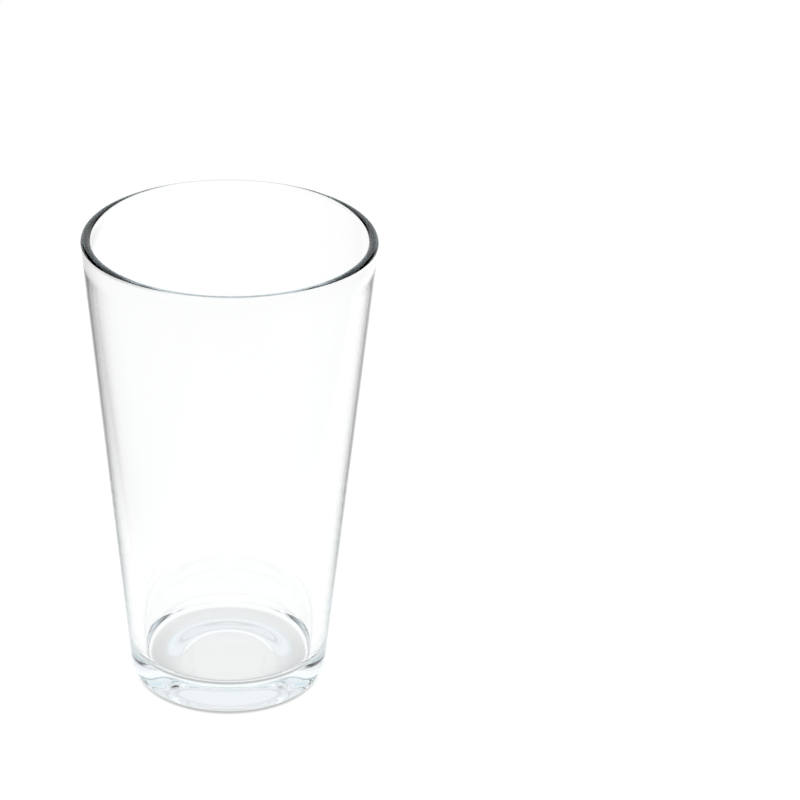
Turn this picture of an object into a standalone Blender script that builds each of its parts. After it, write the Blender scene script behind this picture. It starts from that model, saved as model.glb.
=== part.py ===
"""Mixing glass: one body of pressed glass, turned about the vertical axis.

Frame: +Z up, the origin on the table at the middle of the foot. All lengths are in metres.
"""

import math

import bpy

# Outside: a straight cone between the rim and the heel.
HEIGHT = 0.1485
CONE_RADIUS_AT_RIM = 0.0446
CONE_RADIUS_AT_TABLE = 0.0301
RIM_THICKNESS = 0.0030
HEEL_RADIUS = 0.0040

# Wall: a bead at the rim, thinnest just under it, and evenly thicker down to the floor.
BEAD_HEIGHT = 0.0080
WALL_UNDER_BEAD = 0.0024
WALL_AT_FLOOR = 0.0046

# Floor of the cup: a shallow dish inside a rounded corner.
FLOOR_HEIGHT = 0.0092
DISH_DEPTH = 0.0008
CORNER_RADIUS = 0.0040

# Underside: a flat bearing ring around a raised middle.
RING_WIDTH = 0.0040
RISE_WIDTH = 0.0120
RISE_HEIGHT = 0.0040

# Smoothness of the turned surface.
SEGMENTS = 72
CORNER_STEPS = 6
BEAD_STEPS = 8
FLOOR_STEPS = 5
RISE_STEPS = 10

CONE_ANGLE = math.atan2(CONE_RADIUS_AT_RIM - CONE_RADIUS_AT_TABLE, HEIGHT)


def clear_scene():
    for old in list(bpy.data.objects):
        bpy.data.objects.remove(old)


def smooth_step(share):
    """0 to 1 along an S-shaped curve that is level at both ends."""
    share = min(max(share, 0.0), 1.0)
    return 0.5 - 0.5 * math.cos(math.pi * share)


def outer_radius(z):
    return CONE_RADIUS_AT_TABLE + (CONE_RADIUS_AT_RIM - CONE_RADIUS_AT_TABLE) * z / HEIGHT


def wall_thickness(z):
    """Radial thickness of the wall at height z."""
    foot_share = 1.0 - (z - FLOOR_HEIGHT) / (HEIGHT - FLOOR_HEIGHT)
    bead_share = smooth_step(1.0 - (HEIGHT - z) / BEAD_HEIGHT)
    thickening = foot_share * (WALL_AT_FLOOR - WALL_UNDER_BEAD)
    return WALL_UNDER_BEAD + thickening + bead_share * (RIM_THICKNESS - WALL_UNDER_BEAD)


def inner_radius(z):
    return outer_radius(z) - wall_thickness(z)


def arc(centre, radius, start, end, steps):
    """Points of a circular arc, from angle start to angle end."""
    angles = [start + (end - start) * step / steps for step in range(steps + 1)]
    return [(centre[0] + radius * math.cos(a), centre[1] + radius * math.sin(a)) for a in angles]


def cup_floor(edge_radius):
    """The dished floor, from the axis out to where the rounded corner starts."""
    points = []
    for step in range(FLOOR_STEPS):
        share = step / FLOOR_STEPS
        points.append((edge_radius * share, FLOOR_HEIGHT - DISH_DEPTH * (1.0 - smooth_step(share))))
    return points


def underside(ring_radius):
    """The raised middle, from the inner edge of the bearing ring to the axis."""
    points = []
    for step in range(RISE_STEPS + 1):
        share = step / RISE_STEPS
        points.append((ring_radius - RISE_WIDTH * share, RISE_HEIGHT * smooth_step(share)))
    points.append((0.0, RISE_HEIGHT))
    return points


def glass_profile():
    """Half section of the glass, from the cup's floor up, over the rim and down to the underside."""
    bead_base = HEIGHT - BEAD_HEIGHT
    corner_top = FLOOR_HEIGHT + CORNER_RADIUS
    wall_lean = (inner_radius(bead_base) - inner_radius(corner_top)) / (bead_base - corner_top)
    wall_angle = math.atan(wall_lean)
    corner_centre = (inner_radius(corner_top) - CORNER_RADIUS / math.cos(wall_angle), corner_top)

    rim_radius = RIM_THICKNESS / 2
    rim_height = HEIGHT - rim_radius
    rim_centre = (outer_radius(rim_height) - rim_radius / math.cos(CONE_ANGLE), rim_height)

    heel_centre = (outer_radius(HEEL_RADIUS) - HEEL_RADIUS / math.cos(CONE_ANGLE), HEEL_RADIUS)

    points = cup_floor(corner_centre[0])
    points += arc(corner_centre, CORNER_RADIUS, -math.pi / 2, -wall_angle, CORNER_STEPS)
    for step in range(BEAD_STEPS):
        z = bead_base + (rim_height - bead_base) * step / BEAD_STEPS
        points.append((inner_radius(z), z))
    points += arc(rim_centre, rim_radius, math.pi - CONE_ANGLE, -CONE_ANGLE, 2 * CORNER_STEPS)
    points += arc(heel_centre, HEEL_RADIUS, -CONE_ANGLE, -math.pi / 2, CORNER_STEPS)
    points += underside(heel_centre[0] - RING_WIDTH)
    return points


def glass_material():
    material = bpy.data.materials.new("clear_glass")
    material.use_nodes = True
    shader = material.node_tree.nodes["Principled BSDF"]
    shader.inputs["Base Color"].default_value = (0.95, 0.98, 0.97, 1.0)
    shader.inputs["Metallic"].default_value = 0.0
    shader.inputs["Roughness"].default_value = 0.02
    shader.inputs["IOR"].default_value = 1.52
    shader.inputs["Transmission Weight"].default_value = 1.0
    return material


def turned_body(name, profile, material):
    """A closed solid turned from a profile about the Z axis."""
    mesh = bpy.data.meshes.new(name)
    vertices = [(radius, 0.0, z) for radius, z in profile]
    edges = [(index, index + 1) for index in range(len(profile) - 1)]
    mesh.from_pydata(vertices, edges, [])
    mesh.materials.append(material)
    body = bpy.data.objects.new(name, mesh)
    bpy.context.scene.collection.objects.link(body)

    turn = body.modifiers.new("Turn", "SCREW")
    turn.axis = "Z"
    turn.angle = 2 * math.pi
    turn.steps = SEGMENTS
    turn.render_steps = SEGMENTS
    turn.use_merge_vertices = True
    turn.merge_threshold = 0.00001
    turn.use_smooth_shade = True
    return body


clear_scene()
turned_body("mixing_glass", glass_profile(), glass_material())
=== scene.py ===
"""The looks of the mixing glass: one clear pressed glass on a bright studio floor."""

import math

import bmesh
import bpy
from mathutils import Matrix, Vector


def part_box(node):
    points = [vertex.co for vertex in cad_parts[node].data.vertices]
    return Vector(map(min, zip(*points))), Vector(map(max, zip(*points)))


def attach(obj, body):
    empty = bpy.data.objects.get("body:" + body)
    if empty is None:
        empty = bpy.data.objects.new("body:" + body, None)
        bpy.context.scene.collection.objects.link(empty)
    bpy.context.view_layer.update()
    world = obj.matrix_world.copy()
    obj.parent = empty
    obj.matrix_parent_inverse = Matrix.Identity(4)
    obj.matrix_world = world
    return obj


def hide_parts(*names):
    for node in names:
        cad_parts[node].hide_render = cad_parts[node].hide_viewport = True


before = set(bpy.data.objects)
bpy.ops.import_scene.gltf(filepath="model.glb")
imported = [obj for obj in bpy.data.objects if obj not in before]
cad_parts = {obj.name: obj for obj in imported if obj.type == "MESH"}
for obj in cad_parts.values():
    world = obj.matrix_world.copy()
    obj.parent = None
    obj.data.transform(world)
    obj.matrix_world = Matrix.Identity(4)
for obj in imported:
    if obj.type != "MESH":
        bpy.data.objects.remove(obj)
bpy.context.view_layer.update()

MM = 0.001

# The CAD node gives the height and the width of the mouth.
LOW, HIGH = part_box("mixing_glass")
HEIGHT = HIGH.z - LOW.z
MOUTH_RADIUS = (HIGH.x - LOW.x) / 2

# Section of the glass, with the same sizes as the CAD. The slope is the growth of the outer
# radius for each unit of height.
OUTER_SLOPE = 14.5 / 148.5
RIM_THICKNESS = 3.0 * MM
HEEL_RADIUS = 4.0 * MM
BEAD_HEIGHT = 8.0 * MM
WALL_UNDER_BEAD = 2.4 * MM
WALL_AT_FLOOR = 4.6 * MM
FLOOR_HEIGHT = 9.2 * MM
DISH_DEPTH = 0.8 * MM
CORNER_RADIUS = 4.0 * MM
RING_WIDTH = 4.0 * MM
RISE_WIDTH = 12.0 * MM
RISE_HEIGHT = 4.0 * MM

# Fineness of the turned surface. A point nearer to the axis than ON_AXIS lies on it.
SEGMENTS = 360
CORNER_STEPS = 20
WALL_STEPS = 90
OUTSIDE_STEPS = 12
FLOOR_STEPS = 20
RISE_STEPS = 28
ON_AXIS = 0.0001 * MM

CONE_ANGLE = math.atan(OUTER_SLOPE)


def smooth_step(share):
    """0 to 1 along an S-shaped curve that is level at both ends."""
    share = min(max(share, 0.0), 1.0)
    return 0.5 - 0.5 * math.cos(math.pi * share)


def outer_radius(z):
    """Radius of the outer cone, which is as wide as the CAD where the rim's round meets it."""
    rim_round_starts = HEIGHT - RIM_THICKNESS / 2 * (1.0 + math.sin(CONE_ANGLE))
    return MOUTH_RADIUS - OUTER_SLOPE * (rim_round_starts - z)


def wall_thickness(z):
    """Radial thickness at height z: more towards the floor, and more in the rim's bead."""
    foot_share = 1.0 - (z - FLOOR_HEIGHT) / (HEIGHT - FLOOR_HEIGHT)
    bead_share = smooth_step(1.0 - (HEIGHT - z) / BEAD_HEIGHT)
    thickening = foot_share * (WALL_AT_FLOOR - WALL_UNDER_BEAD)
    return WALL_UNDER_BEAD + thickening + bead_share * (RIM_THICKNESS - WALL_UNDER_BEAD)


def inner_radius(z):
    return outer_radius(z) - wall_thickness(z)


def arc(centre, radius, start, end, steps):
    """Points of a circular arc, from angle start to angle end."""
    angles = [start + (end - start) * step / steps for step in range(steps + 1)]
    return [(centre[0] + radius * math.cos(a), centre[1] + radius * math.sin(a)) for a in angles]


def glass_profile():
    """Half section, from the middle of the cup's floor, over the rim and down to the underside.

    The corner, the rim and the heel are arcs, and those names hold the arcs' centres.
    """
    corner_top = FLOOR_HEIGHT + CORNER_RADIUS
    wall_lean = (inner_radius(corner_top + MM) - inner_radius(corner_top)) / MM
    wall_angle = math.atan(wall_lean)
    corner = (inner_radius(corner_top) - CORNER_RADIUS / math.cos(wall_angle), corner_top)
    rim_radius = RIM_THICKNESS / 2
    rim_height = HEIGHT - rim_radius
    rim = (outer_radius(rim_height) - rim_radius / math.cos(CONE_ANGLE), rim_height)
    heel = (outer_radius(HEEL_RADIUS) - HEEL_RADIUS / math.cos(CONE_ANGLE), HEEL_RADIUS)

    points = []
    for step in range(FLOOR_STEPS):
        share = step / FLOOR_STEPS
        points.append((corner[0] * share, FLOOR_HEIGHT - DISH_DEPTH * (1.0 - smooth_step(share))))
    points += arc(corner, CORNER_RADIUS, -math.pi / 2, -wall_angle, CORNER_STEPS)
    lowest = points[-1][1]
    for step in range(1, WALL_STEPS):
        z = lowest + (rim_height - lowest) * step / WALL_STEPS
        points.append((inner_radius(z), z))
    points += arc(rim, rim_radius, math.pi - CONE_ANGLE, -CONE_ANGLE, 2 * CORNER_STEPS)
    for step in range(1, OUTSIDE_STEPS):
        z = rim_height + (heel[1] - rim_height) * step / OUTSIDE_STEPS
        points.append((outer_radius(z), z))
    points += arc(heel, HEEL_RADIUS, -CONE_ANGLE, -math.pi / 2, CORNER_STEPS)
    ring_radius = heel[0] - RING_WIDTH
    for step in range(RISE_STEPS + 1):
        share = step / RISE_STEPS
        points.append((ring_radius - RISE_WIDTH * share, RISE_HEIGHT * smooth_step(share)))
    points.append((0.0, RISE_HEIGHT))
    return points


def turned_mesh(name, profile, segments):
    """A closed, smooth mesh of revolution about Z whose profile starts and ends on the axis."""
    shape = bmesh.new()
    rings = []
    for radius, z in profile:
        if radius < ON_AXIS:
            rings.append([shape.verts.new((0.0, 0.0, z))])
            continue
        turn = [2 * math.pi * k / segments for k in range(segments)]
        rings.append([shape.verts.new((radius * math.cos(a), radius * math.sin(a), z)) for a in turn])
    for ring, after in zip(rings, rings[1:]):
        # A ring on the axis is one point, so the faces that meet it are triangles.
        for here in range(segments):
            there = (here + 1) % segments
            side = [ring[here % len(ring)], after[here % len(after)]]
            next_side = [after[there % len(after)], ring[there % len(ring)]]
            shape.faces.new(list(dict.fromkeys(side + next_side)))
    bmesh.ops.recalc_face_normals(shape, faces=shape.faces)
    mesh = bpy.data.meshes.new(name)
    shape.to_mesh(mesh)
    shape.free()
    mesh.shade_smooth()
    return mesh


def feed(tree, socket, value):
    """Give a node input a plain value, or link another node's output to it."""
    if isinstance(value, bpy.types.NodeSocket):
        tree.links.new(value, socket)
    else:
        socket.default_value = value


def calculate(tree, operation, *values):
    """The output of a math node."""
    node = tree.nodes.new("ShaderNodeMath")
    node.operation = operation
    for socket, value in zip(node.inputs, values):
        feed(tree, socket, value)
    return node.outputs["Value"]


def change(tree, value, start, end, low=0.0, high=1.0, kind="LINEAR"):
    """A node output that goes from low to high as value goes from start to end, and no further."""
    node = tree.nodes.new("ShaderNodeMapRange")
    node.interpolation_type = kind
    feed(tree, node.inputs["Value"], value)
    feed(tree, node.inputs["From Min"], start)
    feed(tree, node.inputs["From Max"], end)
    feed(tree, node.inputs["To Min"], low)
    feed(tree, node.inputs["To Max"], high)
    return node.outputs["Result"]


def rise(tree, value, start, end):
    """A node output that goes smoothly from 0 to 1 as value goes from start to end."""
    return change(tree, value, start, end, kind="SMOOTHSTEP")


def fall(tree, value, start, end):
    """A node output that goes smoothly from 1 to 0 as value goes from start to end."""
    return change(tree, value, start, end, low=1.0, high=0.0, kind="SMOOTHSTEP")


def between(tree, value, start, end, first_edge, last_edge):
    """A node output that is 1 from start to end and fades to 0 within the edges outside them."""
    rising = rise(tree, value, start - first_edge, start)
    falling = fall(tree, value, end, end + last_edge)
    return calculate(tree, "MULTIPLY", rising, falling)


def split(tree, vector):
    """The X, Y and Z of a vector."""
    node = tree.nodes.new("ShaderNodeSeparateXYZ")
    feed(tree, node.inputs["Vector"], vector)
    return node.outputs["X"], node.outputs["Y"], node.outputs["Z"]


def distance_from_axis(tree, x, y):
    level = tree.nodes.new("ShaderNodeCombineXYZ")
    feed(tree, level.inputs["X"], x)
    feed(tree, level.inputs["Y"], y)
    length = tree.nodes.new("ShaderNodeVectorMath")
    length.operation = "LENGTH"
    feed(tree, length.inputs[0], level.outputs["Vector"])
    return length.outputs["Value"]


def noise(tree, place, scale, detail):
    """The grey value of a noise texture."""
    node = tree.nodes.new("ShaderNodeTexNoise")
    feed(tree, node.inputs["Vector"], place)
    feed(tree, node.inputs["Scale"], scale)
    feed(tree, node.inputs["Detail"], detail)
    return node.outputs["Fac"]


# Clear soda-lime glass. Handling marks are faintly rough patches where their noise is high.
# Pressing waves are bumps drawn out along the height. The absorption is a faint blue-green that
# shows only in depth. A noise scale is the number of its cells in a metre.
REFRACTION = 1.52
MARK_SCALE = 60.0
MARK_DETAIL = 6.0
MARK_NOISE = (0.55, 0.80)
MARK_ROUGHNESS = 0.03
WAVE_SCALE = 70.0
WAVE_DETAIL = 1.0
WAVE_STRETCH = (1.0, 1.0, 0.15)
WAVE_HEIGHT = 0.004 * MM
DEPTH_COLOUR = (0.84, 0.93, 0.945, 1.0)
DEPTH_DENSITY = 8.0


def handling_marks(tree, place):
    """Roughness of the surface."""
    return change(tree, noise(tree, place, MARK_SCALE, MARK_DETAIL), *MARK_NOISE, high=MARK_ROUGHNESS)


def pressing_waves(tree, place):
    """Normal of the surface."""
    stretch = tree.nodes.new("ShaderNodeMapping")
    feed(tree, stretch.inputs["Vector"], place)
    feed(tree, stretch.inputs["Scale"], WAVE_STRETCH)
    bump = tree.nodes.new("ShaderNodeBump")
    feed(tree, bump.inputs["Strength"], 1.0)
    feed(tree, bump.inputs["Distance"], WAVE_HEIGHT)
    feed(tree, bump.inputs["Height"], noise(tree, stretch.outputs["Vector"], WAVE_SCALE, WAVE_DETAIL))
    return bump.outputs["Normal"]


def glass_material():
    material = bpy.data.materials.new("clear_glass")
    material.use_nodes = True
    tree = material.node_tree
    place = tree.nodes.new("ShaderNodeTexCoord").outputs["Object"]
    shader = tree.nodes["Principled BSDF"]
    feed(tree, shader.inputs["Base Color"], (1.0, 1.0, 1.0, 1.0))
    feed(tree, shader.inputs["Transmission Weight"], 1.0)
    feed(tree, shader.inputs["IOR"], REFRACTION)
    feed(tree, shader.inputs["Roughness"], handling_marks(tree, place))
    feed(tree, shader.inputs["Normal"], pressing_waves(tree, place))

    depth = tree.nodes.new("ShaderNodeVolumeAbsorption")
    feed(tree, depth.inputs["Color"], DEPTH_COLOUR)
    feed(tree, depth.inputs["Density"], DEPTH_DENSITY)
    feed(tree, tree.nodes["Material Output"].inputs["Volume"], depth.outputs["Volume"])
    return material


def make_glass():
    mesh = turned_mesh("mixing_glass_body", glass_profile(), SEGMENTS)
    mesh.materials.append(glass_material())
    glass = bpy.data.objects.new("mixing_glass_body", mesh)
    bpy.context.scene.collection.objects.link(glass)
    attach(glass, "root")
    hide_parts("mixing_glass")


# Studio floor, in metres, just under the foot so that the two surfaces never coincide. PALE and
# WHITE are the brightness of its own glow. Round the glass it is white with a painted pool of light,
# which begins a little way in front of the glass and has its middle to the right of it. With each
# metre away from the camera the pool widens by LIGHT_POOL_SPREAD of its width at the glass, and it fades
# beyond WHITE_REACH. SIDE_FADES are its left and its right edge. The rest of the floor is as pale as
# the horizon.
FLOOR_SIZE = 30.0
FLOOR_DROP = 0.2 * MM
PALE = 0.72
WHITE = 1.03
LIGHT_POOL_CENTRE = 0.052
LIGHT_POOL_HALF_WIDTH = 0.122
LIGHT_POOL_SPREAD = 0.70
LIGHT_POOL_START = -0.10
START_FADE = 0.25
SIDE_FADES = (0.06, 0.30)
WHITE_REACH = 0.74
FAR_FADE = 0.80

# Painted shadow of the glass on the floor, as the share of the floor's glow that it takes away: a
# ring under the foot and a fainter middle. The ring's shade grows from back to front between the
# two SHADE_TURNS.
SHADE_RING = (24.0 * MM, 27.6 * MM)
SHADE_EDGES = (10.0 * MM, 2.0 * MM)
SHADE_BACK = 0.20
SHADE_FRONT = 0.50
SHADE_TURNS = (15.0 * MM, -10.0 * MM)
SHADE_MIDDLE = 0.14


def painted_floor_light(tree, x, y, reach):
    """Painted light of the floor without shade: pale, and white in a painted pool of light near the glass.
    """
    aside = calculate(tree, "SUBTRACT", x, LIGHT_POOL_CENTRE)
    widening = calculate(tree, "MULTIPLY_ADD", y, LIGHT_POOL_SPREAD, 1.0)
    narrowed = calculate(tree, "DIVIDE", aside, widening)
    across = between(tree, narrowed, -LIGHT_POOL_HALF_WIDTH, LIGHT_POOL_HALF_WIDTH, *SIDE_FADES)
    along = rise(tree, y, LIGHT_POOL_START - START_FADE, LIGHT_POOL_START)
    # Painted pool of light: where it is 1 the floor glows WHITE instead of PALE.
    light_pool = calculate(tree, "MULTIPLY", across, along)
    near = fall(tree, reach, WHITE_REACH, WHITE_REACH + FAR_FADE)
    return change(tree, calculate(tree, "MULTIPLY", light_pool, near), 0.0, 1.0, low=PALE, high=WHITE)


def painted_contact_shade(tree, y, reach):
    """Painted contact shadow: the share of the floor's glow that is taken away under the glass."""
    ring = between(tree, reach, *SHADE_RING, *SHADE_EDGES)
    strength = change(tree, y, *SHADE_TURNS, low=SHADE_BACK, high=SHADE_FRONT)
    under_ring = calculate(tree, "MULTIPLY", ring, strength)
    middle = fall(tree, reach, SHADE_RING[0] - SHADE_EDGES[0], SHADE_RING[0])
    return calculate(tree, "MULTIPLY_ADD", middle, SHADE_MIDDLE, under_ring)


def floor_material():
    """A black floor that gives out its own light, with a painted pool of light round the glass and a
    painted contact shadow, so that it takes no real shadow.
    """
    material = bpy.data.materials.new("painted_light_floor")
    material.use_nodes = True
    tree = material.node_tree
    x, y, _ = split(tree, tree.nodes.new("ShaderNodeNewGeometry").outputs["Position"])
    reach = distance_from_axis(tree, x, y)
    # Painted contact shadow, taken out of the floor's glow.
    unshaded = calculate(tree, "SUBTRACT", 1.0, painted_contact_shade(tree, y, reach))
    brightness = calculate(tree, "MULTIPLY", painted_floor_light(tree, x, y, reach), unshaded)
    shader = tree.nodes["Principled BSDF"]
    feed(tree, shader.inputs["Base Color"], (0.0, 0.0, 0.0, 1.0))
    feed(tree, shader.inputs["Roughness"], 1.0)
    feed(tree, shader.inputs["Specular IOR Level"], 0.0)
    feed(tree, shader.inputs["Emission Color"], (1.0, 1.0, 1.0, 1.0))
    feed(tree, shader.inputs["Emission Strength"], brightness)
    return material


def make_floor():
    bpy.ops.mesh.primitive_plane_add(size=FLOOR_SIZE, location=(0.0, 0.0, LOW.z - FLOOR_DROP))
    floor = bpy.context.object
    floor.name = "studio_floor"
    floor.data.materials.append(floor_material())


# Colours of the sky. Its two lights, overhead and on the backdrop, are faintly blue.
LIGHT_TINT = (0.94, 0.965, 1.0)


def light_colour(brightness):
    return tuple(brightness * share for share in LIGHT_TINT) + (1.0,)


DARK = (0.0, 0.0, 0.0, 1.0)
HAZE = (PALE, PALE, PALE, 1.0)
BACKDROP = light_colour(0.9)
OVERHEAD = light_colour(0.95)

# The sky by height, as (sine of the height angle, colour). All round it is haze at the horizon,
# dark above it and light overhead. Behind the glass the backdrop fills the dark band, with haze
# between it and the light overhead. In directions of length 1, the backdrop reaches as far
# sideways as its half width, and it comes in over the stretch BEHIND, away from the camera.
SKY_AROUND = [(-1.0, HAZE), (0.06, HAZE), (0.12, DARK), (0.42, DARK), (0.52, OVERHEAD), (1.0, OVERHEAD)]
SKY_BACKDROP = [(-1.0, HAZE), (0.06, HAZE), (0.12, BACKDROP), (0.40, BACKDROP), (0.44, HAZE), (0.48, HAZE),
                (0.54, OVERHEAD), (1.0, OVERHEAD)]
BACKDROP_HALF_WIDTH = 0.46
BACKDROP_EDGE = 0.12
BEHIND = (0.0, 0.2)


def sky_colours(tree, height, stops):
    """Colour of the sky by height, from 0 straight down to 1 straight up."""
    ramp = tree.nodes.new("ShaderNodeValToRGB")
    elements = ramp.color_ramp.elements
    while len(elements) < len(stops):
        elements.new(1.0)
    for element, (sine, colour) in zip(elements, stops):
        element.position = (sine + 1.0) / 2
        element.color = colour
    feed(tree, ramp.inputs["Fac"], height)
    return ramp.outputs["Color"]


def make_world():
    world = bpy.data.worlds.new("studio")
    world.use_nodes = True
    tree = world.node_tree
    x, y, z = split(tree, tree.nodes.new("ShaderNodeTexCoord").outputs["Generated"])
    height = change(tree, z, -1.0, 1.0)
    across = between(tree, x, -BACKDROP_HALF_WIDTH, BACKDROP_HALF_WIDTH, BACKDROP_EDGE, BACKDROP_EDGE)
    backdrop = calculate(tree, "MULTIPLY", across, rise(tree, y, *BEHIND))
    # A mix of two colours uses these of its node's sockets.
    mix = tree.nodes.new("ShaderNodeMix")
    mix.data_type = "RGBA"
    factor, first, second, mixed = mix.inputs[0], mix.inputs[6], mix.inputs[7], mix.outputs[2]
    feed(tree, factor, backdrop)
    feed(tree, first, sky_colours(tree, height, SKY_AROUND))
    feed(tree, second, sky_colours(tree, height, SKY_BACKDROP))
    feed(tree, tree.nodes["Background"].inputs["Color"], mixed)
    bpy.context.scene.world = world


# Camera: a long lens looking down on the glass, which stands left of the middle of the frame.
# The lens and the sensor are in millimetres, and the rest in metres and radians.
LENS = 162.5
SENSOR = 36.0
CAMERA_ELEVATION = math.radians(26.42)
CAMERA_DISTANCE = 1.100
CAMERA_ROLL = math.radians(1.535)
CAMERA_CLIP_END = 50.0
AIM = Vector((52.0 * MM, 0.0, 95.5 * MM))


def make_camera():
    data = bpy.data.cameras.new("camera")
    data.lens = LENS
    data.sensor_width = SENSOR
    data.clip_end = CAMERA_CLIP_END
    camera = bpy.data.objects.new("camera", data)
    bpy.context.scene.collection.objects.link(camera)
    back = Vector((0.0, -math.cos(CAMERA_ELEVATION), math.sin(CAMERA_ELEVATION)))
    camera.location = AIM + back * CAMERA_DISTANCE
    level = back.to_track_quat("Z", "Y").to_matrix().to_4x4()
    camera.rotation_euler = (level @ Matrix.Rotation(CAMERA_ROLL, 4, "Z")).to_euler()
    bpy.context.scene.camera = camera


# Light bounces many times inside the thick glass before it leaves.
BOUNCES = 34


def set_light_and_colour():
    cycles = bpy.context.scene.cycles
    cycles.max_bounces = BOUNCES
    cycles.transmission_bounces = BOUNCES
    cycles.glossy_bounces = BOUNCES
    bpy.context.scene.view_settings.view_transform = "Standard"


make_glass()
make_floor()
make_world()
make_camera()
set_light_and_colour()
